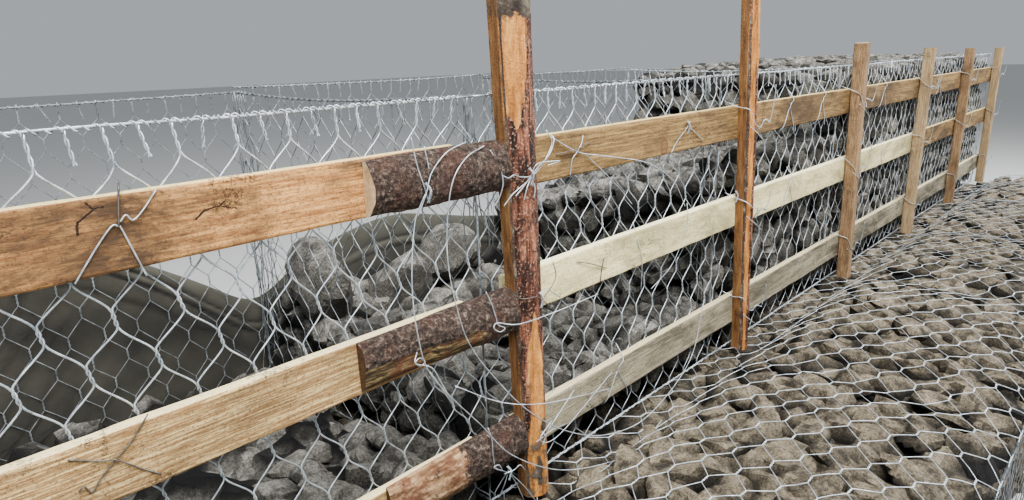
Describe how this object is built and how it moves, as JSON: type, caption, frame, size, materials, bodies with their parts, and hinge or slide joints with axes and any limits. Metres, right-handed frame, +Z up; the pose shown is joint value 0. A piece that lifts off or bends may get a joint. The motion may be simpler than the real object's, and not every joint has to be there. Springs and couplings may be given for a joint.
{
  "type": "gabion wall",
  "caption": "Stepped gabion wall in building, wire mesh baskets of grey rock on a lidded lower course, with a timber frame of posts and boards tied in front.",
  "frame": {"origin": "on the ground under the middle of the lower course", "axes": "+X along the wall, +Y into the bank, +Z up; the stepped face looks towards -Y"},
  "size_m": [6.006, 2, 1.75],
  "materials": {
    "grey_rock": "broken basalt, rough",
    "galvanised_wire": "galvanised steel wire, dull bright",
    "board_timber": "rough sawn softwood",
    "sawn_post_timber": "rough sawn softwood",
    "peeled_log": "split log, partly barked",
    "bark": "pine bark",
    "geotextile": "needle-punched felt"
  },
  "bodies": {
    "root": {"back_edge_wires": "galvanised_wire", "base_edge_wires": "galvanised_wire", "base_stone_1": "grey_rock", "base_stone_2": "grey_rock", "base_stone_3": "grey_rock", "base_stone_4": "grey_rock", "base_stone_5": "grey_rock", "base_stone_6": "grey_rock", "bottom_bark_slab": "bark", "bottom_board_1": "board_timber", "bottom_board_2": "board_timber", "bottom_board_3": "board_timber", "front_edge_wires": "galvanised_wire", "front_mesh_panel_1": "galvanised_wire", "front_mesh_panel_2": "galvanised_wire", "geotextile_sheet": "geotextile", "left_end_frame": "galvanised_wire", "middle_bark_slab": "bark", "middle_board_1": "board_timber", "middle_board_2": "board_timber", "middle_board_3": "board_timber", "partition_frame_2": "galvanised_wire", "partition_frame_3": "galvanised_wire", "partition_frame_4": "galvanised_wire", "partition_frame_5": "galvanised_wire", "partition_mesh_panel_1": "galvanised_wire", "post_1": "sawn_post_timber", "post_2": "peeled_log", "post_3": "peeled_log", "post_4": "sawn_post_timber", "post_5": "sawn_post_timber", "post_6": "sawn_post_timber", "post_7": "sawn_post_timber", "right_end_frame": "galvanised_wire", "stone_fill_1": "grey_rock", "stone_fill_2": "grey_rock", "stone_fill_3": "grey_rock", "stone_fill_4": "grey_rock", "stone_fill_5": "grey_rock", "stone_fill_6": "grey_rock", "top_bark_slab": "bark", "top_board_1": "board_timber", "top_board_2": "board_timber", "top_board_3": "board_timber"}
  },
  "joints": []
}
